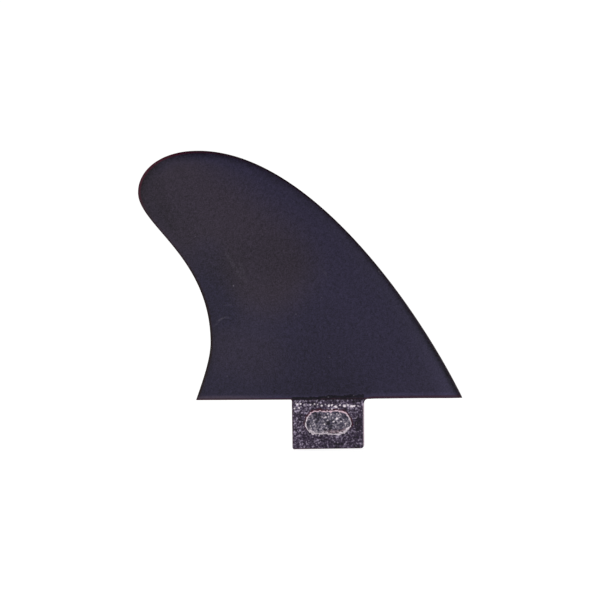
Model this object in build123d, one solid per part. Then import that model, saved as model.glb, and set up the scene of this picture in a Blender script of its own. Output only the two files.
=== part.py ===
from build123d import *

import math
import os

# Small raked surfboard fin with one fixing tab, moulded in one piece.
# X runs forward to the leading edge, Z up the blade and Y through its thickness.
# The origin is the middle of the tab, on the flat base that meets the board.

# Fixing tab, in millimetres
TAB_LENGTH = 20.4
TAB_THICKNESS = 6.0
TAB_DEPTH = 14.1
TAB_DRAFT_ANGLE = 0.4
TAB_FRONT_CORNER = 1.0
TAB_REAR_CORNER = 0.5
TAB_FRONT_ROOT = 1.1
TAB_REAR_ROOT = 0.45
TAB_EDGE_RADIUS = 0.4

# Recess that the fixing screw bears in, one in each cheek of the tab
RECESS_LENGTH = 13.5
RECESS_WIDTH = 7.2
RECESS_DROP = 6.75
RECESS_DEPTH = 1.1
RECESS_WALL_ANGLE = 20.0

# Side view of the blade. Distances forward and back are from the tab's middle.
BASE_FORWARD = 38.4
BASE_BACK = 37.6
BLADE_HEIGHT = 71.1
PEAK_BACK = 36.6
TIP_BACK = 53.6
TIP_DROP = 11.8
HOLLOW_BACK = 33.3
HOLLOW_HEIGHT = 16.6
LEADING_EDGE_ANGLE = 64.4
HEEL_ANGLE = 70.6

# How far a curve follows its direction at each end, as a share of its own rise or run
LEADING_EDGE_PULL = (0.41, 0.42)
TIP_PULL = (0.65, 0.51)
TRAILING_EDGE_PULL = (0.22, 0.57)
HEEL_PULL = (0.30, 0.32)

# Thickness of the blade, which overhangs each cheek of the tab
BLADE_OVERHANG = 0.95
TIP_THICKNESS = 2.9
TRAILING_EDGE_THICKNESS = 0.9
TIP_ROUNDING = 3.0
BASE_EDGE_RADIUS = 0.25

# Relief over the tab: how far up the blade's side its sloped underside reaches
RELIEF_HEIGHT = 1.0

# Form of the foil section, as shares of its own length and thickness
THICKEST_AT = 0.37
NOSE_FULLNESS = 0.60
NOSE_PULL = 0.62
TAIL_PULL = 0.52
TAIL_END_PULL = 0.30
TAIL_END_FULLNESS = 0.42

# Levels that the blade is lofted through, closer together towards the peak
SECTION_COUNT = 20
LAST_SECTION_ANGLE = 1.4

# How far the tab's root is buried in the blade
ROOT_BURIAL = 0.8


def slope(angle):
    """Unit vector in the side view that rises towards the back at this angle from level."""
    return Vector(-math.cos(math.radians(angle)), 0, math.sin(math.radians(angle)))


def blade_outline():
    """Side view of the blade as a flat face: four curves that run into each other, and the base."""
    front_corner = Vector(BASE_FORWARD, 0, 0)
    peak = Vector(-PEAK_BACK, 0, BLADE_HEIGHT)
    rearmost = Vector(-TIP_BACK, 0, BLADE_HEIGHT - TIP_DROP)
    hollow = Vector(-HOLLOW_BACK, 0, HOLLOW_HEIGHT)
    rear_corner = Vector(-BASE_BACK, 0, 0)
    forward = Vector(1, 0, 0)
    up = Vector(0, 0, 1)

    leading_edge = Edge.make_bezier(
        front_corner,
        front_corner + slope(LEADING_EDGE_ANGLE) * (LEADING_EDGE_PULL[0] * BLADE_HEIGHT),
        peak + forward * (LEADING_EDGE_PULL[1] * (BASE_FORWARD + PEAK_BACK)),
        peak,
    )
    tip = Edge.make_bezier(
        peak,
        peak - forward * (TIP_PULL[0] * (TIP_BACK - PEAK_BACK)),
        rearmost + up * (TIP_PULL[1] * TIP_DROP),
        rearmost,
    )
    trailing_rise = rearmost.Z - HOLLOW_HEIGHT
    trailing_edge = Edge.make_bezier(
        rearmost,
        rearmost - up * (TRAILING_EDGE_PULL[0] * trailing_rise),
        hollow + up * (TRAILING_EDGE_PULL[1] * trailing_rise),
        hollow,
    )
    heel = Edge.make_bezier(
        hollow,
        hollow - up * (HEEL_PULL[0] * HOLLOW_HEIGHT),
        rear_corner + slope(180 - HEEL_ANGLE) * (HEEL_PULL[1] * HOLLOW_HEIGHT),
        rear_corner,
    )
    base = Edge.make_line(rear_corner, front_corner)
    return Face(Wire([leading_edge, tip, trailing_edge, heel, base]))


def chord_ends(outline, height):
    """Front and rear of the blade at a height: where a level line enters and leaves the outline."""
    reach = 2 * (BASE_FORWARD + TIP_BACK)
    level_line = Edge.make_line((-reach, 0, height), (reach, 0, height))
    chord = (outline & level_line).bounding_box()
    return chord.max.X, chord.min.X


def thickness_share(height):
    """Share of the thickness left at a height: all of it, until the tip rounds over."""
    below_peak = min(1.0, (BLADE_HEIGHT - height) / TIP_ROUNDING)
    return math.sqrt(1 - (1 - below_peak) ** 2)


def foil_section(outline, height):
    """Closed foil at a height: a round nose, its thickest part, a thin tail with a square end."""
    front, rear = chord_ends(outline, height)
    base_half = TAB_THICKNESS / 2 + BLADE_OVERHANG
    straight_half = base_half + (TIP_THICKNESS / 2 - base_half) * height / BLADE_HEIGHT
    half = straight_half * thickness_share(height)
    tail_half = TRAILING_EDGE_THICKNESS / 2 * thickness_share(height)
    thickest = front - THICKEST_AT * (front - rear)
    nose_length = front - thickest
    tail_length = thickest - rear

    nose = [
        (front, 0, height),
        (front, NOSE_FULLNESS * half, height),
        (thickest + NOSE_PULL * nose_length, half, height),
        (thickest, half, height),
    ]
    tail = [
        (thickest, half, height),
        (thickest - TAIL_PULL * tail_length, half, height),
        (rear + TAIL_END_PULL * tail_length, tail_half + TAIL_END_FULLNESS * (half - tail_half), height),
        (rear, tail_half, height),
    ]
    left = [Edge.make_bezier(*nose), Edge.make_bezier(*tail)]
    square_end = Edge.make_line((rear, tail_half, height), (rear, -tail_half, height))
    right = [Edge.make_bezier(*other_side(tail)), Edge.make_bezier(*other_side(nose))]
    return Wire([*left, square_end, *right])


def other_side(points):
    """The same curve on the other side of the blade, run backwards."""
    return [(x, -y, z) for x, y, z in reversed(points)]


def blade():
    """Blade lofted up through its foil sections, with its base edge rounded."""
    outline = blade_outline()
    sections = []
    for i in range(SECTION_COUNT):
        angle = 90 + (LAST_SECTION_ANGLE - 90) * i / (SECTION_COUNT - 1)
        sections.append(foil_section(outline, BLADE_HEIGHT * math.cos(math.radians(angle))))
    body = Solid.make_loft(sections)
    base_edge = body.faces().sort_by(Axis.Z).first.edges()
    return body.fillet(BASE_EDGE_RADIUS, base_edge)


def corner(face, x, z):
    """The vertex of a side-view face that lies at this corner."""
    return face.vertices().sort_by_distance((x, 0, z))[:1]


def tab():
    """Tab with flared roots, drafted ends, rounded corners and rounded long edges."""
    half = TAB_LENGTH / 2
    foot = half - TAB_DEPTH * math.tan(math.radians(TAB_DRAFT_ANGLE))
    root_front = half + TAB_FRONT_ROOT + ROOT_BURIAL
    root_rear = -half - TAB_REAR_ROOT - ROOT_BURIAL
    points = [
        (root_rear, 0, ROOT_BURIAL),
        (root_rear, 0, 0),
        (-half, 0, 0),
        (-foot, 0, -TAB_DEPTH),
        (foot, 0, -TAB_DEPTH),
        (half, 0, 0),
        (root_front, 0, 0),
        (root_front, 0, ROOT_BURIAL),
    ]
    side = Face(Wire.make_polygon(points))
    side = side.fillet_2d(TAB_REAR_ROOT, corner(side, -half, 0))
    side = side.fillet_2d(TAB_REAR_CORNER, corner(side, -foot, -TAB_DEPTH))
    side = side.fillet_2d(TAB_FRONT_CORNER, corner(side, foot, -TAB_DEPTH))
    side = side.fillet_2d(TAB_FRONT_ROOT, corner(side, half, 0))
    body = extrude(side, TAB_THICKNESS / 2, dir=(0, 1, 0), both=True).solid()
    cheek_edges = body.faces().filter_by(Axis.Y).edges()
    return body.fillet(TAB_EDGE_RADIUS, cheek_edges.filter_by_position(Axis.Z, -TAB_DEPTH, 0))


def screw_recess():
    """Obround recess with sloped walls, for the left cheek."""
    cheek = Plane((0, TAB_THICKNESS / 2, -RECESS_DROP), x_dir=(1, 0, 0), z_dir=(0, 1, 0))
    mouth = cheek * SlotOverall(RECESS_LENGTH, RECESS_WIDTH)
    return extrude(mouth, -RECESS_DEPTH, taper=RECESS_WALL_ANGLE)


def relief():
    """Wedge that slopes the blade's underside up and out from the tab's left cheek.

    It runs out twice as far as the blade overhangs, so that it cuts clear of the blade's side.
    """
    cheek = TAB_THICKNESS / 2
    reach = cheek + 2 * BLADE_OVERHANG
    wedge = Wire.make_polygon([(0, cheek, 0), (0, reach, 0), (0, reach, 2 * RELIEF_HEIGHT)])
    return extrude(Face(wedge), TAB_LENGTH / 2, dir=(1, 0, 0), both=True)


def fin():
    """The whole moulding: blade and tab in one, less a recess and a relief on each side."""
    cuts = screw_recess() + relief()
    return blade() + tab() - cuts - mirror(cuts, about=Plane.XZ)


os.makedirs("parts", exist_ok=True)
export_step(fin(), "parts/fin.step")
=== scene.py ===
import math

import bmesh
import bpy
from mathutils import Matrix, Vector, kdtree, noise


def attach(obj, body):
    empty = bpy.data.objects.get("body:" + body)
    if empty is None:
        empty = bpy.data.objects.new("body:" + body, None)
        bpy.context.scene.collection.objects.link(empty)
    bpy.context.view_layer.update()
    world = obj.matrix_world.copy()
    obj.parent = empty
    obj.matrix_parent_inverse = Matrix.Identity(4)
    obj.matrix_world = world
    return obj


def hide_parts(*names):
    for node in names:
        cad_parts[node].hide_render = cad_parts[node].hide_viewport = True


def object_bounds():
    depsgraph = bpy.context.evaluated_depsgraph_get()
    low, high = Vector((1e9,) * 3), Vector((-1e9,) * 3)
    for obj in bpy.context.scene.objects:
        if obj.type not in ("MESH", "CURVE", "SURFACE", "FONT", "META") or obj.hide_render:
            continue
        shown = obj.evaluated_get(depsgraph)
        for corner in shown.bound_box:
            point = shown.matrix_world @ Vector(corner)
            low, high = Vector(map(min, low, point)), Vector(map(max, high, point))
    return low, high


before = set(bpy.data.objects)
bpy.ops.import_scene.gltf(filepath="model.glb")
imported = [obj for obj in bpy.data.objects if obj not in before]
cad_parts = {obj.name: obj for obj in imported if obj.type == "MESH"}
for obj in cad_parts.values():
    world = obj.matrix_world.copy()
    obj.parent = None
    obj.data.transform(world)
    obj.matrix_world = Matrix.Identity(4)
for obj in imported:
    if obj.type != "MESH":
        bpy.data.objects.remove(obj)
cad_low, cad_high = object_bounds()

# The moulding is worked out in millimetres and brought to metres when it is whole
MM = 0.001

# Side view of the blade, measured from the middle of the tab on the flat base
BASE_FORWARD = 38.4
BASE_BACK = 37.6
BLADE_HEIGHT = 71.1
PEAK_BACK = 36.6
TIP_BACK = 53.6
TIP_DROP = 11.8
HOLLOW_BACK = 33.3
HOLLOW_HEIGHT = 16.6
LEADING_EDGE_ANGLE = 64.4
HEEL_ANGLE = 70.6
LEADING_EDGE_PULL = (0.41, 0.42)
TIP_PULL = (0.65, 0.51)
TRAILING_EDGE_PULL = (0.22, 0.57)
HEEL_PULL = (0.30, 0.32)

# Foil section
BASE_THICKNESS = 7.9
TIP_THICKNESS = 2.9
TRAILING_EDGE_THICKNESS = 0.9
TRAILING_EDGE_ROUNDING = 0.15
TIP_ROUNDING = 3.0
BASE_EDGE_RADIUS = 0.25
BASE_HOLLOW_REAR = 8.0
BASE_HOLLOW_FRONT = 34.0
BASE_HOLLOW_DEPTH = 0.16
BASE_HOLLOW_FADE = 4.0
THICKEST_AT = 0.37
NOSE_FULLNESS = 0.60
NOSE_PULL = 0.62
TAIL_PULL = 0.52
TAIL_END_PULL = 0.30
TAIL_END_FULLNESS = 0.42

# Fixing tab and the screw recess in each of its cheeks
TAB_LENGTH = 20.56
TAB_THICKNESS = 6.0
TAB_DEPTH = 14.1
TAB_DRAFT_ANGLE = 0.4
TAB_FRONT_CORNER = 1.0
TAB_REAR_CORNER = 0.5
TAB_FRONT_ROOT = 1.1
TAB_REAR_ROOT = 0.45
TAB_EDGE_RADIUS = 0.4
FOOT_RISE = 0.11
ROOT_BURIAL = 0.8
RECESS_LENGTH = 13.3
RECESS_WIDTH = 7.0
RECESS_DROP = 6.6
RECESS_DEPTH = 1.1
RECESS_WALL_ANGLE = 20.0
RELIEF_HEIGHT = 1.0
RELIEF_OVERLAP = 0.6
CHEEK = TAB_THICKNESS / 2

# Rough skin of the tab and the relief: how far each part of its texture stands up or goes down
SKIN_HEIGHT = 0.02
SKIN_GRAIN_HEIGHT = 0.018
CHEEK_GRAIN_HEIGHT = 0.05
FLECK_HEIGHT = 0.10
FLECKS_PER_MM = 1.25
FLECK_RADIUS = 0.42
NIB_REACH = 0.9
RIDGE_NIB_HEIGHT = 0.16
RIM_HEIGHT = 0.13
GROOVE_DEPTH = 0.05
FLOOR_GRAIN_HEIGHT = 0.08
FLOOR_NIB_HEIGHT = 0.12
RELIEF_SWELL_HEIGHT = 0.13
RELIEF_GRAIN_HEIGHT = 0.09

# Nibs along the ridge across the top of the tab, which the finish paints worn pale and with glints:
# place in the side view, radius, strength
RIDGE_NIBS = (
    (-9.6, -2.55, 0.32, 0.65),
    (-9.1, -1.00, 0.30, 0.60),
    (-8.7, -1.25, 0.38, 0.90),
    (-8.3, -2.30, 0.38, 0.85),
    (-7.8, -1.20, 0.36, 0.80),
    (-6.7, -1.50, 0.28, 0.45),
    (-5.0, -1.50, 0.32, 0.70),
    (-3.9, -1.30, 0.34, 0.70),
    (-3.0, -1.50, 0.32, 0.60),
    (-1.8, -1.75, 0.38, 0.75),
    (-0.8, -1.50, 0.30, 0.50),
    (0.2, -1.80, 0.48, 0.95),
    (1.1, -1.60, 0.40, 0.85),
    (2.2, -2.05, 0.54, 0.95),
    (3.4, -1.60, 0.34, 0.75),
    (4.7, -1.90, 0.52, 1.00),
    (5.6, -1.65, 0.36, 0.75),
    (6.7, -1.95, 0.54, 1.00),
    (7.4, -1.85, 0.40, 0.80),
    (8.5, -1.95, 0.34, 0.60),
    (1.1, -2.70, 0.28, 0.55),
    (3.0, -2.70, 0.26, 0.45),
)

# Nibs on the floor of the near recess, and the pits between them, in the same way: the finish paints
# glints on the nibs and shade in the pits
RECESS_NIBS = (
    (1.6, -6.3, 0.42, 1.10),
    (2.5, -5.6, 0.50, 1.00),
    (3.0, -6.9, 0.52, 0.55),
    (3.7, -6.3, 0.34, 1.00),
    (4.9, -7.05, 0.40, 1.10),
    (-0.95, -7.0, 0.40, 1.10),
    (-0.2, -6.1, 0.44, 0.85),
    (3.0, -4.55, 0.34, 0.70),
    (4.4, -5.8, 0.34, 0.65),
    (-0.75, -5.1, 0.44, 0.70),
    (-0.1, -4.15, 0.34, 0.75),
    (0.85, -4.35, 0.38, 0.75),
    (1.35, -5.25, 0.36, 0.75),
    (2.2, -7.8, 0.34, 0.65),
    (4.2, -7.9, 0.34, 0.55),
    (-0.55, -8.2, 0.36, 0.60),
    (-1.15, -9.0, 0.34, 0.65),
    (-4.3, -6.5, 0.44, 0.55),
    (-4.6, -4.9, 0.44, 0.50),
    (-5.0, -7.5, 0.40, 0.60),
)
RECESS_PITS = (
    (-0.05, -6.8, 0.80, 1.00),
    (1.20, -5.95, 0.46, 0.80),
    (2.10, -6.50, 0.40, 0.70),
    (0.60, -7.60, 0.56, 0.60),
    (-0.80, -6.30, 0.44, 0.60),
    (-3.20, -7.60, 0.50, 0.50),
)

# How finely the surfaces are divided, and how close points are merged or count as touching
BLADE_ROWS = 112
BASE_ROUNDING_ROWS = 5
END_COLUMNS = 2
CORNER_COLUMNS = 3
TAIL_COLUMNS = 32
NOSE_COLUMNS = 40
TAB_GRAIN_SPACING = 0.14
RELIEF_GRAIN_SPACING = 0.16
CORNER_SEGMENTS = 10
EDGE_SEGMENTS = 4
RECESS_END_SEGMENTS = 16
HALVINGS = 40
OUTLINE_STEPS = 1500
SHEET_MERGE = 0.0002
WELD_MERGE = 0.004
TOUCHING = 0.0001
CREASE_ANGLE = 40.0


def smooth(value, low, high):
    """0 below low, 1 above high, and a soft change between them."""
    share = min(1.0, max(0.0, (value - low) / (high - low)))
    return share * share * (3 - 2 * share)


def bezier(points, share):
    """Point on a cubic curve, a share of the way along it."""
    rest = 1 - share
    weights = (rest**3, 3 * rest**2 * share, 3 * rest * share**2, share**3)
    return sum((point * weight for point, weight in zip(points, weights)), Vector((0, 0)))


def slope(angle):
    """Direction in the side view that rises towards the back at this angle from level."""
    return Vector((-math.cos(math.radians(angle)), math.sin(math.radians(angle))))


def side_curves():
    """The leading edge, and the curves up the back of the blade from its base to its peak."""
    front_corner = Vector((BASE_FORWARD, 0))
    peak = Vector((-PEAK_BACK, BLADE_HEIGHT))
    rearmost = Vector((-TIP_BACK, BLADE_HEIGHT - TIP_DROP))
    hollow = Vector((-HOLLOW_BACK, HOLLOW_HEIGHT))
    rear_corner = Vector((-BASE_BACK, 0))
    forward = Vector((1, 0))
    up = Vector((0, 1))
    rise = rearmost.y - HOLLOW_HEIGHT
    leading_edge = (
        front_corner,
        front_corner + slope(LEADING_EDGE_ANGLE) * (LEADING_EDGE_PULL[0] * BLADE_HEIGHT),
        peak + forward * (LEADING_EDGE_PULL[1] * (BASE_FORWARD + PEAK_BACK)),
        peak,
    )
    heel = (
        rear_corner,
        rear_corner + slope(180 - HEEL_ANGLE) * (HEEL_PULL[1] * HOLLOW_HEIGHT),
        hollow - up * (HEEL_PULL[0] * HOLLOW_HEIGHT),
        hollow,
    )
    trailing_edge = (
        hollow,
        hollow + up * (TRAILING_EDGE_PULL[1] * rise),
        rearmost - up * (TRAILING_EDGE_PULL[0] * rise),
        rearmost,
    )
    tip = (
        rearmost,
        rearmost + up * (TIP_PULL[1] * TIP_DROP),
        peak - forward * (TIP_PULL[0] * (TIP_BACK - PEAK_BACK)),
        peak,
    )
    return [leading_edge], [heel, trailing_edge, tip]


def reach_at(curves, height):
    """Where a rising chain of curves is, fore and aft, at a height."""
    curve = next((c for c in curves if height <= c[3].y), curves[-1])
    low, high = 0.0, 1.0
    for _ in range(HALVINGS):
        middle = (low + high) / 2
        if bezier(curve, middle).y < height:
            low = middle
        else:
            high = middle
    return bezier(curve, (low + high) / 2).x


def thickness_share(height):
    """Share of the thickness left at a height: all of it, until the tip rounds over."""
    below_peak = min(1.0, (BLADE_HEIGHT - height) / TIP_ROUNDING)
    return math.sqrt(max(0.0, 1 - (1 - below_peak) ** 2))


def half_section(front, rear, height):
    """One side of the foil, from the middle of its square end round to the nose."""
    share = thickness_share(height)
    straight = BASE_THICKNESS + (TIP_THICKNESS - BASE_THICKNESS) * height / BLADE_HEIGHT
    half = straight / 2 * share
    tail_half = TRAILING_EDGE_THICKNESS / 2 * share
    thickest = front - THICKEST_AT * (front - rear)
    nose_length = front - thickest
    tail_length = thickest - rear
    rounding = min(TRAILING_EDGE_ROUNDING * share, tail_length / 4)

    tail_fullness = tail_half + TAIL_END_FULLNESS * (half - tail_half)
    tail = (
        Vector((rear, tail_half)),
        Vector((rear + TAIL_END_PULL * tail_length, tail_fullness)),
        Vector((thickest - TAIL_PULL * tail_length, half)),
        Vector((thickest, half)),
    )
    nose = (
        Vector((thickest, half)),
        Vector((thickest + NOSE_PULL * nose_length, half)),
        Vector((front, NOSE_FULLNESS * half)),
        Vector((front, 0)),
    )
    flat_end = tail_half - rounding
    points = [Vector((rear, flat_end * i / END_COLUMNS)) for i in range(END_COLUMNS)]
    for i in range(CORNER_COLUMNS):
        turn = math.pi / 2 * i / CORNER_COLUMNS
        across = tail_half - rounding * (1 - math.sin(turn))
        points.append(Vector((rear + rounding * (1 - math.cos(turn)), across)))
    # The rounded corner takes the place of the first stretch of the tail's curve
    start = 0.33 * rounding / (TAIL_END_PULL * tail_length) if tail_length > 1e-6 else 0
    for i in range(TAIL_COLUMNS):
        points.append(bezier(tail, start + (1 - start) * i / TAIL_COLUMNS))
    for i in range(NOSE_COLUMNS + 1):
        points.append(bezier(nose, i / NOSE_COLUMNS))
    return points


def inset(points, distance):
    """Half section drawn in by a distance, at right angles to its own line."""
    first, last = points[1], points[-2]
    mirrored = [Vector((first.x, -first.y)), *points, Vector((last.x, -last.y))]
    moved = []
    for before, point, after in zip(mirrored, points, mirrored[2:]):
        along = after - before
        inward = Vector((along.y, -along.x)).normalized() if along.length else Vector((0, 0))
        moved.append(point + inward * distance)
    return moved


def blade_rows():
    """Height and half section of each row, from the flat base, up its rounded edge, to the peak."""
    front_curves, rear_curves = side_curves()
    levels = []
    for i in range(BASE_ROUNDING_ROWS):
        turn = math.pi / 2 * i / BASE_ROUNDING_ROWS
        height = BASE_EDGE_RADIUS * (1 - math.cos(turn))
        levels.append((height, BASE_EDGE_RADIUS * (1 - math.sin(turn))))
    first = math.acos(BASE_EDGE_RADIUS / BLADE_HEIGHT)
    for i in range(BLADE_ROWS + 1):
        levels.append((BLADE_HEIGHT * math.cos(first * (1 - i / BLADE_ROWS)), 0))
    rows = []
    for height, drawn_in in levels:
        front, rear = reach_at(front_curves, height), reach_at(rear_curves, height)
        points = half_section(front, rear, height)
        rows.append((height, inset(points, drawn_in) if drawn_in else points))
    return rows


def base_hollow(x, height):
    """How far the base is drawn up ahead of the tab, which is fading out up the blade."""
    along = (x - BASE_HOLLOW_REAR) / (BASE_HOLLOW_FRONT - BASE_HOLLOW_REAR)
    if not 0 < along < 1:
        return 0.0
    return BASE_HOLLOW_DEPTH * math.sin(math.pi * along) * (1 - smooth(height, 0, BASE_HOLLOW_FADE))


def blade():
    """Foiled blade: one sheet wrapped from the trailing edge round the nose and back, and closed."""
    rows = blade_rows()
    steps_up = len(rows) - 1
    side_columns = len(rows[0][1]) - 1
    columns = 2 * side_columns
    bm = bmesh.new()
    bmesh.ops.create_grid(bm, x_segments=columns, y_segments=steps_up, size=1)
    for vert in bm.verts:
        column = round((vert.co.x + 1) / 2 * columns)
        height, points = rows[round((vert.co.y + 1) / 2 * steps_up)]
        point = points[min(column, columns - column)]
        side = -1 if column < side_columns else 1
        vert.co = (point.x, side * point.y, height + base_hollow(point.x, height))
    bmesh.ops.remove_doubles(bm, verts=bm.verts, dist=SHEET_MERGE)
    base_ring = [edge for edge in bm.edges if edge.is_boundary]
    bmesh.ops.contextual_create(bm, geom=base_ring)
    bmesh.ops.recalc_face_normals(bm, faces=bm.faces)
    return as_object(bm, "blade")


def as_object(bm, name):
    """Object of a bmesh, which is used up."""
    mesh = bpy.data.meshes.new(name)
    bm.to_mesh(mesh)
    bm.free()
    piece = bpy.data.objects.new(name, mesh)
    bpy.context.scene.collection.objects.link(piece)
    return piece


def round_off(bm, geom, radius, segments, affect):
    """Rounds some corners of a face, or some edges of a solid."""
    settings = {"profile": 0.5, "affect": affect, "material": -1}
    bmesh.ops.bevel(bm, geom=geom, offset=radius, segments=segments, **settings)


def move_grown(bm, grown, along):
    """Moves the points that an extrusion has just added."""
    added = [item for item in grown["geom"] if isinstance(item, bmesh.types.BMVert)]
    bmesh.ops.translate(bm, verts=added, vec=along)


def drawn_out(bm, along):
    """Makes a bmesh's one flat face a solid, by drawing it out."""
    move_grown(bm, bmesh.ops.extrude_face_region(bm, geom=bm.faces[:]), along)
    bmesh.ops.recalc_face_normals(bm, faces=bm.faces)
    return bm


def applied(piece, kind, **settings):
    """Runs one modifier on a piece and keeps its result as the piece's mesh."""
    modifier = piece.modifiers.new(kind.lower(), kind)
    for name, value in settings.items():
        setattr(modifier, name, value)
    ready = piece.evaluated_get(bpy.context.evaluated_depsgraph_get())
    mesh = bpy.data.meshes.new_from_object(ready)
    piece.modifiers.clear()
    piece.data = mesh
    return piece


def combine(piece, other, operation):
    """Joins another solid to a piece, or cuts it away, and drops the other."""
    applied(piece, "BOOLEAN", object=other, operation=operation, solver="MANIFOLD")
    bpy.data.objects.remove(other)
    return piece


def plain_tab():
    """Tab before its grain: drafted ends, flared roots, rounded corners and rounded long edges."""
    half = TAB_LENGTH / 2
    foot = half - TAB_DEPTH * math.tan(math.radians(TAB_DRAFT_ANGLE))
    root_front = half + TAB_FRONT_ROOT + ROOT_BURIAL
    root_rear = -half - TAB_REAR_ROOT - ROOT_BURIAL
    points = [
        (root_rear, ROOT_BURIAL),
        (root_rear, 0),
        (-half, 0),
        (-foot, -TAB_DEPTH),
        (foot, -TAB_DEPTH + FOOT_RISE),
        (half, 0),
        (root_front, 0),
        (root_front, ROOT_BURIAL),
    ]
    bm = bmesh.new()
    corners = [bm.verts.new((x, -CHEEK, z)) for x, z in points]
    bm.faces.new(corners)
    radii = (TAB_REAR_ROOT, TAB_REAR_CORNER, TAB_FRONT_CORNER, TAB_FRONT_ROOT)
    for corner, radius in zip(corners[2:6], radii):
        round_off(bm, [corner], radius, CORNER_SEGMENTS, "VERTICES")
    drawn_out(bm, (0, TAB_THICKNESS, 0))
    cheek_edges = []
    for edge in bm.edges:
        first, second = (vert.co for vert in edge.verts)
        lower, upper = sorted((first.z, second.z))
        on_cheek = abs(first.y - second.y) < TOUCHING
        if on_cheek and upper < ROOT_BURIAL - TOUCHING and lower < -TOUCHING:
            cheek_edges.append(edge)
    round_off(bm, cheek_edges, TAB_EDGE_RADIUS, EDGE_SEGMENTS, "EDGES")
    return as_object(bm, "tab")


def recess_cutter(side):
    """Obround plug with sloped walls, in the shape of the recess in one cheek."""
    half_length, half_width = RECESS_LENGTH / 2, RECESS_WIDTH / 2
    bm = bmesh.new()
    corners = []
    for x, z in ((-1, -1), (1, -1), (1, 1), (-1, 1)):
        place = (x * half_length, side * CHEEK, z * half_width - RECESS_DROP)
        corners.append(bm.verts.new(place))
    bm.faces.new(corners)
    # A hair less than the half width, so that the arcs of an end don't meet
    round_off(bm, corners, half_width * 0.999, RECESS_END_SEGMENTS, "VERTICES")
    mouth = bm.faces[:]
    wall_run = RECESS_DEPTH * math.tan(math.radians(RECESS_WALL_ANGLE))
    settings = {"use_boundary": True, "use_even_offset": True}
    bmesh.ops.inset_region(bm, faces=mouth, thickness=wall_run, **settings)
    bmesh.ops.translate(bm, verts=mouth[0].verts[:], vec=(0, -side * RECESS_DEPTH, 0))
    rim = [edge for edge in bm.edges if edge.is_boundary]
    move_grown(bm, bmesh.ops.extrude_edge_only(bm, edges=rim), (0, side, 0))
    bmesh.ops.contextual_create(bm, geom=[edge for edge in bm.edges if edge.is_boundary])
    bmesh.ops.recalc_face_normals(bm, faces=bm.faces)
    return as_object(bm, "recess")


def off_recess(point):
    """Distance of a point from the recess's outline in the side view: below zero inside it."""
    along = max(abs(point.x) - (RECESS_LENGTH - RECESS_WIDTH) / 2, 0)
    return math.hypot(along, point.z + RECESS_DROP) - RECESS_WIDTH / 2


def ragged_off_recess(point):
    """The same distance, from the uneven line that the recess's rim really follows."""
    low = -point.z - RECESS_DROP
    sway = noise.noise(point * 0.6) * 0.26
    wobble = sway + noise.noise(point * 1.7 + Vector((2, 9, 4))) * 0.30
    teeth = noise.noise(point * 3.1) * 0.26 * smooth(low, 1.0, 3.0)
    return off_recess(point) + wobble + teeth


def grain(point):
    """Coarse moulded grain of the tab, from about -1 to 1."""
    return noise.noise(point * 1.5) * 0.55 + noise.noise(point * 3.1 + Vector((7, 3, 5))) * 0.6


def fleck(point):
    """Small raised fleck round each of many scattered points, of uneven strength."""
    distances, centres = noise.voronoi(point * FLECKS_PER_MM)
    strength = noise.cell(centres[0] * 5.3 + Vector((0.37, 0.11, 0.73)))
    return smooth(1 - distances[0] / FLECK_RADIUS, 0, 1) * smooth(strength, 0.35, 1.0)


def nibs(point, places):
    """Height of the small uneven nibs at some places on a cheek, from 0 to 1."""
    height = 0.0
    for x, z, size, strength in places:
        right, up = point.x - x, point.z - z
        if abs(right) < NIB_REACH and abs(up) < NIB_REACH:
            slanted = math.hypot(right * 0.85 + up * 0.4, up * 0.95 - right * 0.4)
            away = slanted + 0.22 * noise.noise(point * 3.1)
            height = max(height, smooth(1 - away / size, 0, 0.55) * strength)
    return height


def recess_nibs(point):
    """Nibs on the floor of the near recess, and the pits between them, which are below zero."""
    if point.y > 0:
        return 0.0
    return nibs(point, RECESS_NIBS) - nibs(point, RECESS_PITS)


def rim_crest(point):
    """How far a point is on the raised crest of the recess's rim, from 0 to 1, which the finish paints
    worn pale and with a highlight.
    """
    off = ragged_off_recess(point)
    low = -point.z - RECESS_DROP
    inner = 0.42 + 0.12 * smooth(low, 1.5, 3.0)
    inner += 0.30 * smooth(low, 0.3, 2.0) * smooth(point.x, 3.0, 5.0)
    return smooth(off, -inner - 0.12, -inner + 0.06) * (1 - smooth(off, -0.20, -0.06))


def rim_groove(point):
    """How far a point is in the line that runs just outside the rim, from 0 to 1: a shallow groove,
    which the finish darkens as painted shade.
    """
    off = ragged_off_recess(point)
    line = smooth(off, -0.16, -0.02) * (1 - smooth(off, 0.16, 0.36))
    return line * smooth(point.z + RECESS_DROP, -2.6, 0.5)


def tab_height(point):
    """How far the tab's rough skin stands off the smooth form, in millimetres."""
    on_cheek = smooth(abs(point.y), 1.6, 1.9) * smooth(TAB_LENGTH / 2 - abs(point.x), 0.1, 0.8)
    on_cheek *= smooth(-point.z, 0.1, 0.5) * smooth(TAB_DEPTH + point.z, 0.1, 0.7)
    on_skin = smooth(-point.z, 0.4, 1.2)
    on_floor = on_cheek * (1 - smooth(off_recess(point), -0.9, -0.5))
    height = SKIN_HEIGHT * on_skin
    height += grain(point) * (SKIN_GRAIN_HEIGHT * on_skin + on_cheek * CHEEK_GRAIN_HEIGHT)
    height += on_cheek * FLECK_HEIGHT * fleck(point)
    height += on_cheek * RIDGE_NIB_HEIGHT * nibs(point, RIDGE_NIBS)
    height += on_cheek * (RIM_HEIGHT * rim_crest(point) - GROOVE_DEPTH * rim_groove(point))
    floor_grain = FLOOR_GRAIN_HEIGHT * noise.noise(point * 2.1 + Vector((3, 1, 8)))
    height += on_floor * (floor_grain + FLOOR_NIB_HEIGHT * recess_nibs(point))
    return height


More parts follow.
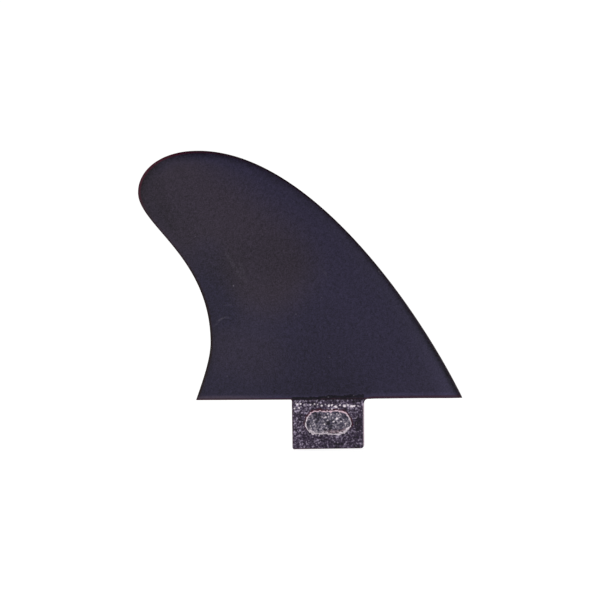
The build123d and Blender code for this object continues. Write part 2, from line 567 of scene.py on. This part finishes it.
def roughened(piece, height_at):
    """Moves every vertex of a finely divided piece along its normal."""
    bm = bmesh.new()
    bm.from_mesh(piece.data)
    bm.normal_update()
    moves = [(vert, vert.normal * height_at(vert.co)) for vert in bm.verts]
    for vert, move in moves:
        vert.co += move
    bm.to_mesh(piece.data)
    bm.free()
    return piece


def tab():
    """The tab with its two recesses and its rough moulded skin."""
    piece = plain_tab()
    for side in (-1, 1):
        combine(piece, recess_cutter(side), "DIFFERENCE")
    applied(piece, "REMESH", mode="VOXEL", voxel_size=TAB_GRAIN_SPACING)
    return roughened(piece, tab_height)


def relief_height(point):
    """Unevenness of the undercut over the tab, in millimetres."""
    swell = RELIEF_SWELL_HEIGHT * noise.noise(point * 1.1)
    return swell + RELIEF_GRAIN_HEIGHT * noise.noise(point * 2.6)


def relief_cutter(side):
    """Rough wedge that leaves the blade's underside sloping up and out from the tab's cheek."""
    reach = BASE_THICKNESS - TAB_THICKNESS
    profile = (
        (0, -RELIEF_OVERLAP),
        (reach, -RELIEF_OVERLAP),
        (reach, 2 * RELIEF_HEIGHT),
        (0, 0),
    )
    bm = bmesh.new()
    rear = -TAB_LENGTH / 2
    bm.faces.new([bm.verts.new((rear, side * (CHEEK + y), z)) for y, z in profile])
    piece = as_object(drawn_out(bm, (TAB_LENGTH, 0, 0)), "relief")
    applied(piece, "REMESH", mode="VOXEL", voxel_size=RELIEF_GRAIN_SPACING)
    return roughened(piece, relief_height)


def outline_points():
    """Tree of points close together along the blade's outline, to measure distances from."""
    points = []
    for curve in sum(side_curves(), []):
        points += [bezier(curve, i / OUTLINE_STEPS) for i in range(OUTLINE_STEPS + 1)]
    tree = kdtree.KDTree(len(points))
    for index, point in enumerate(points):
        tree.insert((point.x, 0, point.y), index)
    tree.balance()
    return tree


def weld(mesh):
    """Merges the points that the joins leave almost on top of each other."""
    bm = bmesh.new()
    bm.from_mesh(mesh)
    bmesh.ops.remove_doubles(bm, verts=bm.verts, dist=WELD_MERGE)
    bm.to_mesh(mesh)
    bm.free()


def mark(mesh, name, value_at):
    """Stores a value at every vertex, for the finish to read."""
    layer = mesh.attributes.new(name, "FLOAT", "POINT")
    layer.data.foreach_set("value", [value_at(vert.co) for vert in mesh.vertices])


def out_on_cheek(point):
    """How far a point is out on a cheek of the tab, from 0 to 1."""
    return smooth(abs(point.y), 1.4, 1.8)


# What the finish reads from the tab's skin, by the name that it is stored under
TAB_MARKS = {
    "rim": lambda point: rim_crest(point) * out_on_cheek(point),
    "groove": lambda point: rim_groove(point) * out_on_cheek(point),
    "grain": grain,
    "fleck": fleck,
    "nibs": lambda point: recess_nibs(point) * (off_recess(point) < -0.3),
    "ridge": lambda point: nibs(point, RIDGE_NIBS) * smooth(abs(point.y), 2.4, 2.8),
}


def fin():
    """The whole moulding as one closed skin, in metres, with the marks that its finish follows."""
    piece = blade()
    for side in (-1, 1):
        combine(piece, relief_cutter(side), "DIFFERENCE")
    combine(piece, tab(), "UNION")
    piece.name = "fin_moulding"
    mesh = piece.data
    mesh.name = "fin_moulding"
    weld(mesh)
    outline = outline_points()
    mark(mesh, "off_edge", lambda point: outline.find((point.x, 0, point.z))[2])
    for name, value_at in TAB_MARKS.items():
        mark(mesh, name, lambda point: value_at(point) * smooth(-point.z, -0.1, 0.1))
    mesh.transform(Matrix.Scale(MM, 4))
    mesh.shade_smooth()
    mesh.set_sharp_from_angle(angle=math.radians(CREASE_ANGLE))
    return piece


class Socket:
    """One shader value. Python's operators on it add Math nodes."""

    def __init__(self, finish, socket):
        self.finish = finish
        self.socket = socket

    def maths(self, operation, *values):
        given = dict(enumerate(values))
        return self.finish.node("ShaderNodeMath", {"operation": operation}, given)

    def __add__(self, other):
        return self.maths("ADD", self, other)

    def __sub__(self, other):
        return self.maths("SUBTRACT", self, other)

    def __rsub__(self, other):
        return self.maths("SUBTRACT", other, self)

    def __neg__(self):
        return self.maths("SUBTRACT", 0, self)

    def __mul__(self, other):
        return self.maths("MULTIPLY", self, other)

    def __pow__(self, other):
        return self.maths("POWER", self, other)

    def __abs__(self):
        return self.maths("ABSOLUTE", self)

    __radd__ = __add__

    def above(self, other):
        """The larger of two values."""
        return self.maths("MAXIMUM", self, other)

    def below(self, other):
        """The smaller of two values."""
        return self.maths("MINIMUM", self, other)

    def smooth(self, low, high):
        """0 below low, 1 above high, and a soft change between them."""
        return self.finish.node(
            "ShaderNodeMapRange",
            {"interpolation_type": "SMOOTHSTEP"},
            {"Value": self, "From Min": low, "From Max": high},
        )

    def fade(self, low, high):
        """1 below low, 0 above high, and a soft change between them."""
        return 1 - self.smooth(low, high)

    def band(self, start, full, ebb, end):
        """1 from full to ebb, 0 outside start and end, and soft changes between them."""
        return self.smooth(start, full) * self.fade(ebb, end)


class Finish:
    """A material that is built up node by node."""

    def __init__(self, name):
        self.material = bpy.data.materials.new(name)
        self.material.use_nodes = True
        self.tree = self.material.node_tree
        self.tree.nodes.clear()

    def node(self, kind, settings=None, inputs=None, output=0):
        """Adds a node: its settings first, then the values or links of its sockets."""
        made = self.tree.nodes.new(kind)
        for name, value in (settings or {}).items():
            setattr(made, name, value)
        for name, value in (inputs or {}).items():
            if isinstance(value, Socket):
                self.tree.links.new(value.socket, made.inputs[name])
            else:
                made.inputs[name].default_value = value
        return Socket(self, made.outputs[output]) if len(made.outputs) else made

    def mix(self, factor, first, second):
        """Colour between two colours."""
        inputs = {0: factor, 6: first, 7: second}
        return self.node("ShaderNodeMix", {"data_type": "RGBA"}, inputs, output=2)

    def dimmed(self, colour, light):
        """Colour made darker or lighter."""
        settings = {"operation": "SCALE"}
        return self.node("ShaderNodeVectorMath", settings, {0: colour, "Scale": light})

    def noise(self, place, scale, detail=2.0, roughness=0.5):
        """Noise from 0 to 1, with its middle at 0.5."""
        inputs = {"Vector": place, "Scale": scale, "Detail": detail, "Roughness": roughness}
        return self.node("ShaderNodeTexNoise", None, inputs)

    def attribute(self, name):
        """Value that the mesh carries at its points."""
        return self.node("ShaderNodeAttribute", {"attribute_name": name}, output=2)

    def surface(self, inputs):
        """Ends the material in one shader, and gives the whole."""
        shader = self.node("ShaderNodeBsdfPrincipled", None, inputs)
        self.node("ShaderNodeOutputMaterial", None, {"Surface": shader})
        return self.material


# Colours of the nylon, as light reflected (linear)
WARM_NYLON = (0.0305, 0.0223, 0.0370, 1)
COOL_NYLON = (0.0232, 0.0189, 0.0437, 1)
TAB_NYLON = (0.0380, 0.0245, 0.0520, 1)
RECESS_NYLON = (0.0710, 0.0620, 0.1000, 1)
# The worn colour and the pink blushed colour also paint highlights: on the rim's crest, the ridge's
# nibs, the tab's front edge, and the recess's nibs and lower wall
WORN_AND_HIGHLIGHT_NYLON = (0.9500, 0.8500, 0.9300, 1)
BLUSHED_AND_HIGHLIGHT_NYLON = (0.7000, 0.4700, 0.5600, 1)
# Paints glints and worn pale tips on the tab's grain
GLINT_NYLON = (0.5300, 0.4500, 0.6000, 1)
SHADOWED_NYLON = (0.0024, 0.0012, 0.0060, 1)
# Paints the pink light on the lower right wall of the recess
LIT_WALL_NYLON = (0.4600, 0.2500, 0.2800, 1)
# Scuff colour, also used for two painted glints in the undercut
SCUFF_AND_GLINT_NYLON = (0.0960, 0.0840, 0.1120, 1)
# Dark red: painted shade in the groove outside the rim, and the thin red lines along the base and the
# tab's foot and rear
GROOVE_NYLON = (0.0400, 0.0060, 0.0170, 1)
RED_EDGE = (0.0560, 0.0020, 0.0140, 1)

# Patches of the blade that are warmer and lighter in tint, partly the nylon's own tint and partly
# painted light from the upper left, and patches of painted shade where the foil turns from the light:
# both ends of the line in the side view that each lies along, how far off it starts to fade and where
# it ends, and how strong it is
WARM_PATCHES = (
    ((-50, 64), (-18, 38), 7, 20, 1.0),
    ((-30, 15), (-19, 12), 2, 11, 0.4),
    ((-34, 41), (-31, 26), 1, 8, -0.5),
)
SHADE_PATCHES = (
    ((-4, 15), (-2, 4), 2, 18, 0.13),
    ((-43, 51), (-30, 22), 1, 10, 0.15),
    ((-30, 39), (-10, 40), 1, 11, 0.15),
    ((-29, 37), (-28, 27), 1, 8, 0.11),
)

# Scuffs on the near side of the blade: both ends in the side view, width and strength
SCRATCHES = (
    ((-32.2, 21.0), (-30.8, 22.7), 0.38, 0.24),
    ((-30.8, 22.7), (-29.3, 23.6), 0.40, 0.40),
    ((-29.3, 23.6), (-28.2, 23.5), 0.44, 0.22),
    ((-29.4, 27.0), (-27.4, 27.1), 0.32, 0.22),
    ((-28.4, 41.6), (-24.6, 35.0), 0.90, 0.16),
    ((-24.6, 38.8), (-23.0, 33.8), 0.80, 0.13),
    ((-1.2, 36.9), (0.3, 34.9), 0.60, 0.13),
    ((-36.6, 24.2), (-34.6, 25.0), 0.22, 0.22),
    ((14.8, 36.3), (15.3, 35.5), 0.25, 0.62),
)

# Specks on the near side: place in the side view, radius, strength and colour
SPECKS = (
    ((-26.6, 32.5), 0.30, 1.00, SCUFF_AND_GLINT_NYLON),
    ((-8.9, 24.3), 0.24, 0.55, SCUFF_AND_GLINT_NYLON),
    ((-37.3, 46.6), 0.22, 0.40, SCUFF_AND_GLINT_NYLON),
    ((-1.5, 28.9), 0.22, 0.35, SCUFF_AND_GLINT_NYLON),
    ((0.6, 11.9), 0.24, 0.40, SCUFF_AND_GLINT_NYLON),
    ((-28.6, 6.8), 0.24, 0.40, SCUFF_AND_GLINT_NYLON),
    ((-7.3, 19.9), 0.28, 0.85, SHADOWED_NYLON),
)

# In the same way, two painted glints in the undercut over the tab, and painted shade in the hollow at
# its front end
UNDERCUT_MARKS = (
    ((0.1, 0.65), 0.20, 0.80, SCUFF_AND_GLINT_NYLON),
    ((7.3, 1.05), 0.16, 0.80, SCUFF_AND_GLINT_NYLON),
    ((8.9, -0.60), 0.50, 0.80, SHADOWED_NYLON),
)

# Share of a speck's radius and a scratch's width that is at full strength, and how much less the
# undercut's marks count the distance fore and aft than the distance up and down
SPECK_CORE = 0.4
SCRATCH_CORE = 0.3
MARK_SQUEEZE = 0.4

# Fineness of each noise: steps in a metre
CLOUD = 60
CLUSTERS = 420
RAGGED = 1100
MOTTLE = 1200
CHIPS = 1300
CELLS = 1500
WALL_GRAIN = 1500
PATCHES = 1600
SPECKLE = 1700
LINE_BREAKS = 1900
LIT_WALL_SPOTS = 2600
FINE_MOTTLE = 3000
FINE_BUMPS = 5200

# Fine relief and gloss of the finish
BUMP_STRENGTH = 0.30
BUMP_HEIGHT = 0.00006
ROUGHNESS = 0.45
GLOSS = 0.18


def off_line(x, z, start, end):
    """Distance from the straight line between two points of the side view."""
    run = Vector(end) - Vector(start)
    along = ((x - start[0]) * run.x + (z - start[1]) * run.y) * (1 / run.length_squared)
    along = along.above(0).below(1)
    across_x = x - start[0] - along * run.x
    across_z = z - start[1] - along * run.y
    return (across_x * across_x + across_z * across_z) ** 0.5


def patches(x, z, table):
    """Sum of some soft patches, each along a line of the side view."""
    total = 0
    for start, end, near, far, strength in table:
        total = total + off_line(x, z, start, end).fade(near, far) * strength
    return total


def spotted(finish, colour, x, z, spots, share, squeeze=1.0):
    """Colour with soft spots on it, which are longer fore and aft where the squeeze is below 1."""
    for middle, radius, strength, tone in spots:
        across, up = x - middle[0], z - middle[1]
        away = (across * across * squeeze + up * up) ** 0.5
        mask = away.fade(radius * SPECK_CORE, radius) * share * strength
        colour = finish.mix(mask, colour, tone)
    return colour


def edge_light(finish, x, y, z):
    """Painted light and shade of the blade along its edges and its base: how much lighter or darker
    each place is painted.
    """
    off_edge = finish.attribute("off_edge")
    ahead = x.smooth(-30, -10)
    behind = 1 - ahead
    crown = z.smooth(46, 60)
    square_end = abs(y).fade(0.28, 0.42) * behind * z.fade(58, 64)
    trailing = behind * (1 - square_end)
    inner = off_edge.band(0.2, 0.85, 0.9, 2.1)
    above_base = z - x.smooth(10, 14) * 0.42

    # Painted shade where the foil's edges, nose, tip and trailing edge round away from the light
    very_edge = off_edge.fade(0.22, 0.55) * (0.64 - square_end * 0.50)
    top = off_edge.fade(0.2, 3.2) * crown * (0.38 - ahead * 0.08)
    nose = off_edge.fade(0.3, 1.3) * ahead * (1 - crown * 0.8) * 0.30
    low_tail = off_edge.fade(0.40, 0.95) * trailing * z.fade(28, 50) * 0.56
    heel = off_edge.fade(0.6, 3.0) * trailing * z.fade(24, 36) * 0.24
    inner_nose = inner * ahead * z.fade(44, 56) * (0.50 - z.smooth(14, 34) * 0.20)
    inner_top = inner * crown * behind * 0.12
    tip = (x + z * 0.29).fade(-29.6, -27.2) * z.smooth(42, 54) * 0.20
    shade = very_edge + top + nose + low_tail + heel + inner_nose + inner_top + tip

    # Painted light in from the low nose, along the base edge and in from the upper tail
    low_nose = off_edge.band(1.2, 2.4, 2.8, 6.5) * z.fade(4, 22) * x.smooth(8, 16) * 0.30
    base = above_base.band(0.35, 0.60, 0.8, 1.7) * (0.78 - ahead * 0.34)
    high_tail = off_edge.fade(1, 3) * trailing * z.band(42, 48, 55, 62) * 0.16
    return low_nose + base + high_tail - shade


def red_lines(finish, colour, x, z):
    """Colour with the thin red lines round the tip and along the base."""
    off_edge = finish.attribute("off_edge")
    forward = x.smooth(10, 14)
    tip_line = x.fade(-50, -20) * z.smooth(52, 62)
    base_line = (z - forward * 0.42).fade(0.18, 0.55) * (0.85 - forward * 0.25)
    colour = finish.mix(off_edge.fade(0.45, 0.95) * (0.12 + tip_line * 0.72), colour, RED_EDGE)
    return finish.mix(base_line, colour, GROOVE_NYLON)


def blade_colour(finish, place, x, y, z):
    """Tint and mottle of the blade, painted light and shade in patches, low down and along its edges,
    and its scuffs.
    """
    off_edge = finish.attribute("off_edge")
    cloud = finish.noise(place, CLOUD, 3)
    # Warmer and lighter patches: partly the nylon's own tint, partly painted light
    warm = patches(x, z, WARM_PATCHES) + z.fade(0.9, 1.5) * x.fade(-30, -10)
    warm = warm - off_edge.fade(1, 5) * z.smooth(46, 60) * x.smooth(-52, -46) * 0.6
    warm = warm + (cloud - 0.5) * 0.4
    colour = finish.mix(warm.above(0).below(1), COOL_NYLON, WARM_NYLON)

    mottle = finish.noise(place, MOTTLE, 3, 0.6) - 0.5
    mottle = (mottle + (finish.noise(place, FINE_MOTTLE, 2) - 0.5) * 1.5) * 1.05
    # Painted shade, darker low down on the blade except near its front
    low = z.fade(5, 20) * x.fade(12, 22) * 0.08 + z.fade(3, 9) * x.fade(5, 20) * 0.08
    light = 1 + mottle - patches(x, z, SHADE_PATCHES) - low + edge_light(finish, x, y, z)
    colour = red_lines(finish, finish.dimmed(colour, light.above(0)), x, z)

    scuffs = None
    for start, end, width, strength in SCRATCHES:
        mask = off_line(x, z, start, end).fade(width * SCRATCH_CORE, width) * strength
        scuffs = mask if scuffs is None else scuffs.above(mask)
    near_side = (-y).smooth(0.2, 0.4)
    patchy = finish.noise(place, PATCHES, 2).smooth(0.30, 0.60)
    colour = finish.mix(scuffs * patchy * near_side, colour, SCUFF_AND_GLINT_NYLON)
    return spotted(finish, colour, x, z, SPECKS, near_side)


def speckle(finish, place, x, z):
    """How pale each place on the tab is, from worn pale tips and painted glints on its grains, flecks
    and blobs, and the noise that also decides where shade is painted in the pits.
    """
    front = x.smooth(5.5, 8.5)
    quiet = front * 0.013 + x.smooth(-6, 4) * 0.009 + (-z).smooth(9.5, 11.5) * 0.028
    cluster = finish.noise(place, CLUSTERS, 2, 0.6) - 0.5
    chance = finish.noise(place, SPECKLE, 2, 0.6) * 0.80 + finish.attribute("grain") * 0.13
    chance = chance + cluster * 0.50 + z.band(-2.7, -2.1, -1.4, -0.8) * 0.022 + 0.142 - quiet
    cells = finish.node("ShaderNodeTexVoronoi", None, {"Vector": place, "Scale": CELLS})
    cell_chance = Socket(finish, cells.socket.node.outputs["Color"]) * 1
    blobs = cells.fade(0.16, 0.50) * (cell_chance - quiet * 6).smooth(0.36, 0.74)
    flecks = (finish.attribute("fleck") * 0.8 + blobs * 0.88) * (1 - front * 0.25)
    return chance.smooth(0.54, 0.78) * 0.62 + flecks, chance


def into_recess(x, z):
    """Distance in from the recess's outline in the side view: below zero outside it."""
    along = (abs(x) - (RECESS_LENGTH - RECESS_WIDTH) / 2).above(0)
    up = z + RECESS_DROP
    return RECESS_WIDTH / 2 - (along * along + up * up) ** 0.5


def recess_colour(finish, place, pale, inside, x, z):
    """Rough floor of the recess, with painted glints on its raised nibs, a painted highlight on its
    lower wall, and a pink painted highlight along its lower right wall.
    """
    down = -z - RECESS_DROP
    # Painted highlight where the recess's lower wall faces the light
    lit_wall = inside.band(0.3, 0.55, 0.8, 1.35) * down.smooth(0.6, 2.4) * 0.42
    lit_wall = lit_wall * finish.noise(place, WALL_GRAIN, 2, 0.6).smooth(0.36, 0.62)
    # Painted glints on the raised nibs of the floor
    raised = finish.attribute("nibs").above(0)
    bright = (pale * 0.48).above(lit_wall) + raised * raised
    colour = finish.mix(bright.below(1), RECESS_NYLON, WORN_AND_HIGHLIGHT_NYLON)
    # Pink painted highlight along the lower right of the wall
    lit_wall_tint = inside.band(0.35, 0.6, 1.0, 1.7) * down.smooth(0.8, 2.6) * x.smooth(-2, 1) * 0.42
    lit_wall_tint = lit_wall_tint * finish.noise(place, LIT_WALL_SPOTS, 2, 0.6).smooth(0.40, 0.56)
    return finish.mix(lit_wall_tint, colour, LIT_WALL_NYLON)


def worn_and_highlit_places(finish, colour, place, inside, x, y, z):
    """Colour with the recess's rim and the ridge's nibs, worn pale and painted with highlights, a
    painted highlight along the front edge, and the thin red lines.
    """
    up = z + RECESS_DROP
    ridge = finish.attribute("ridge")
    chipped = (finish.noise(place, CHIPS, 2, 0.6) - 0.5) * 1.8
    rim = finish.attribute("rim") * (1.25 + (-up).smooth(1.5, 3.0) * 0.45)
    rim = (rim + chipped - 0.1).smooth(0.15, 0.75)
    ridge_wear_and_glints = (ridge * 1.05 + chipped * 0.4).smooth(0.05, 0.9) * ridge.smooth(0, 0.2) * 0.85
    long_edge = abs(y).smooth(2.3, 2.6)
    # Painted highlight down the rounded front edge of the tab, tinted with the pink blush
    front_edge = (x - TAB_LENGTH / 2).smooth(-0.50, -0.20) * long_edge * (-z).smooth(0.9, 1.6)
    worn_and_highlit = rim.above(ridge_wear_and_glints).above(front_edge * 0.55)
    blush_and_highlight = up.smooth(0.5, 3.0) * inside.smooth(-0.3, 0) * 0.8 + front_edge * 0.7
    worn_and_highlight_colour = finish.mix(blush_and_highlight, WORN_AND_HIGHLIGHT_NYLON, BLUSHED_AND_HIGHLIGHT_NYLON)
    colour = finish.mix(worn_and_highlit.below(1), colour, worn_and_highlight_colour)
    foot_line = (-z - TAB_DEPTH).smooth(-0.35, -0.15) * 0.9
    rear_line = (-x - TAB_LENGTH / 2).smooth(-0.45, -0.30) * 0.6
    return finish.mix(foot_line.above(rear_line) * long_edge, colour, GROOVE_NYLON)


def tab_colour(finish, place, x, y, z):
    """Speckled tab with painted glints, the rough floor of its recess, painted shade in its pits and
    groove, and its worn and highlit places.
    """
    pale, chance = speckle(finish, place, x, z)
    inside = into_recess(x, z)
    in_recess = inside.smooth(0.2, 0.5)
    # Painted glints and worn pale tips on the grain
    tab_part = finish.mix(pale.below(1), TAB_NYLON, GLINT_NYLON)
    recess_part = recess_colour(finish, place, pale, inside, x, z)
    colour = finish.mix(in_recess, tab_part, recess_part)
    # Painted shade in the pits of the grain and of the recess's floor
    pit_shade = chance.fade(0.36, 0.54) * (1 + in_recess * 0.12)
    pit_shade = pit_shade.above(-finish.attribute("nibs") * 1.1)
    colour = finish.dimmed(colour, 1 - pit_shade.below(1) * 0.78)
    # Painted shade in the groove just outside the rim
    colour = finish.mix((finish.attribute("groove") * 1.5).below(1), colour, GROOVE_NYLON)
    return worn_and_highlit_places(finish, colour, place, inside, x, y, z)


def undercut(finish, colour, place, x, y, z):
    """Colour with painted shadow under the blade's overhang, a dark ragged line and softer shade below
    it, and the undercut's painted glints and shaded hollow.
    """
    ragged = (finish.noise(place, RAGGED, 3, 0.6) - 0.5) * 1.3
    crease = z + ragged - (0.36 + x.smooth(-4, 1) * 0.42 + x.smooth(4, 9) * 0.25)
    out = abs(y) - CHEEK
    overhang = out.band(-0.3, -0.1, 0.85, 1.15) * abs(x).fade(10.1, 10.5)
    # Painted shadow: a black ragged line under the overhang and broken shade below it
    black_line = abs(crease).fade(0.30, 0.46)
    breaks = finish.noise(place, LINE_BREAKS, 2).smooth(0.40, 0.62)
    below_line = crease.fade(-0.3, 0) * z.smooth(-0.45, -0.05) * (0.9 - breaks * 0.45)
    colour = finish.mix(black_line.above(below_line) * overhang, colour, SHADOWED_NYLON)
    near_side = (-y).smooth(0.2, 0.4)
    return spotted(finish, colour, x, z, UNDERCUT_MARKS, near_side, MARK_SQUEEZE)


def moulded_nylon():
    """Matt violet-grey nylon: mottled on the blade, rough and speckled on the tab, worn at the rim,
    with painted light and shade along the edges, on the grain, rim and recess, and under the overhang.
    """
    finish = Finish("moulded_nylon")
    place = finish.node("ShaderNodeTexCoord", output="Object")
    split = finish.node("ShaderNodeSeparateXYZ", None, {0: place})
    x, y, z = (Socket(finish, output) * (1 / MM) for output in split.socket.node.outputs)
    on_tab = (-z).smooth(-0.02, 0.12)
    blade_part = blade_colour(finish, place, x, y, z)
    tab_part = tab_colour(finish, place, x, y, z)
    colour = finish.mix(on_tab, blade_part, tab_part)

    fine = finish.noise(place, FINE_BUMPS, 3, 0.6) * (0.35 + on_tab * 0.8)
    bumps = fine + finish.noise(place, CHIPS, 2, 0.6) * 0.5
    relief = {"Strength": BUMP_STRENGTH, "Distance": BUMP_HEIGHT, "Height": bumps}
    return finish.surface({
        "Base Color": undercut(finish, colour, place, x, y, z),
        "Roughness": ROUGHNESS + (finish.noise(place, RAGGED, 2) - 0.5) * 0.2,
        "Normal": finish.node("ShaderNodeBump", None, relief),
        "Specular IOR Level": GLOSS,
    })


# Where the camera stands, and what of the side view it takes in
VIEW_MIDDLE = (-7.70, 28.29)
VIEW_WIDTH = 171.0
VIEW_ROLL = 0.500
LENS = 180.0
SENSOR = 36.0
CLIP_START = 0.01
CLIP_END = 100

# Soft lights: name, the side that each comes from, its spread in degrees and its strength
SOFT_LIGHTS = (
    ("key", (-0.85, -1.0, 0.25), 50, 1.1),
    ("fill", (0.90, -1.0, 0.15), 50, 1.0),
    ("back", (-0.5, 1.0, 0.6), 60, 0.9),
    ("back_fill", (0.9, 0.7, 0.3), 40, 0.8),
)
FLOOR_HALF_WIDTH = 30
FLOOR_GAP = 0.00005
FLOOR_GREY = 0.55
FLOOR_GLOW = 0.86
WHITE = (1, 1, 1, 1)
SURROUNDINGS_SEEN = 1.05
SURROUNDINGS_LIGHT = 0.08


def camera():
    """Long lens, level with the middle of the view, and rolled as the photograph is."""
    data = bpy.data.cameras.new("camera")
    data.lens = LENS
    data.sensor_width = SENSOR
    data.clip_start = CLIP_START
    data.clip_end = CLIP_END
    eye = bpy.data.objects.new("camera", data)
    distance = VIEW_WIDTH * MM * LENS / SENSOR
    eye.location = (VIEW_MIDDLE[0] * MM, -distance, VIEW_MIDDLE[1] * MM)
    eye.rotation_euler = (math.pi / 2, math.radians(VIEW_ROLL), 0)
    bpy.context.scene.collection.objects.link(eye)
    bpy.context.scene.camera = eye


def soft_light(name, toward, spread, strength):
    """Broad white light from far away, which comes from the side that is given."""
    data = bpy.data.lights.new(name, "SUN")
    data.energy = strength
    data.angle = math.radians(spread)
    lamp = bpy.data.objects.new(name, data)
    lamp.rotation_euler = Vector(toward).to_track_quat("Z", "Y").to_euler()
    bpy.context.scene.collection.objects.link(lamp)


def floor():
    """Pale floor just under the tab's foot."""
    bm = bmesh.new()
    bmesh.ops.create_grid(bm, x_segments=1, y_segments=1, size=FLOOR_HALF_WIDTH)
    bmesh.ops.translate(bm, verts=bm.verts, vec=(0, 0, cad_low.z - FLOOR_GAP))
    piece = as_object(bm, "floor")
    paint = Finish("light_table")
    piece.data.materials.append(paint.surface({
        "Base Color": (FLOOR_GREY, FLOOR_GREY, FLOOR_GREY, 1),
        "Roughness": 1.0,
        "Specular IOR Level": 0.0,
        "Emission Color": WHITE,
        "Emission Strength": FLOOR_GLOW,
    }))


def surroundings():
    """White all round, which the camera sees brighter than it lights the fin."""
    world = bpy.data.worlds.new("surroundings")
    world.use_nodes = True
    tree = world.node_tree
    tree.nodes.clear()
    path = tree.nodes.new("ShaderNodeLightPath")
    choice = tree.nodes.new("ShaderNodeMixShader")
    result = tree.nodes.new("ShaderNodeOutputWorld")
    tree.links.new(path.outputs["Is Camera Ray"], choice.inputs[0])
    for slot, strength in ((1, SURROUNDINGS_LIGHT), (2, SURROUNDINGS_SEEN)):
        white = tree.nodes.new("ShaderNodeBackground")
        white.inputs["Color"].default_value = WHITE
        white.inputs["Strength"].default_value = strength
        tree.links.new(white.outputs[0], choice.inputs[slot])
    tree.links.new(choice.outputs[0], result.inputs[0])
    bpy.context.scene.world = world
    bpy.context.scene.view_settings.view_transform = "Standard"


camera()
floor()
surroundings()
for light in SOFT_LIGHTS:
    soft_light(*light)
moulding = fin()
moulding.data.materials.clear()
moulding.data.materials.append(moulded_nylon())
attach(moulding, "root")
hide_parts("fin")
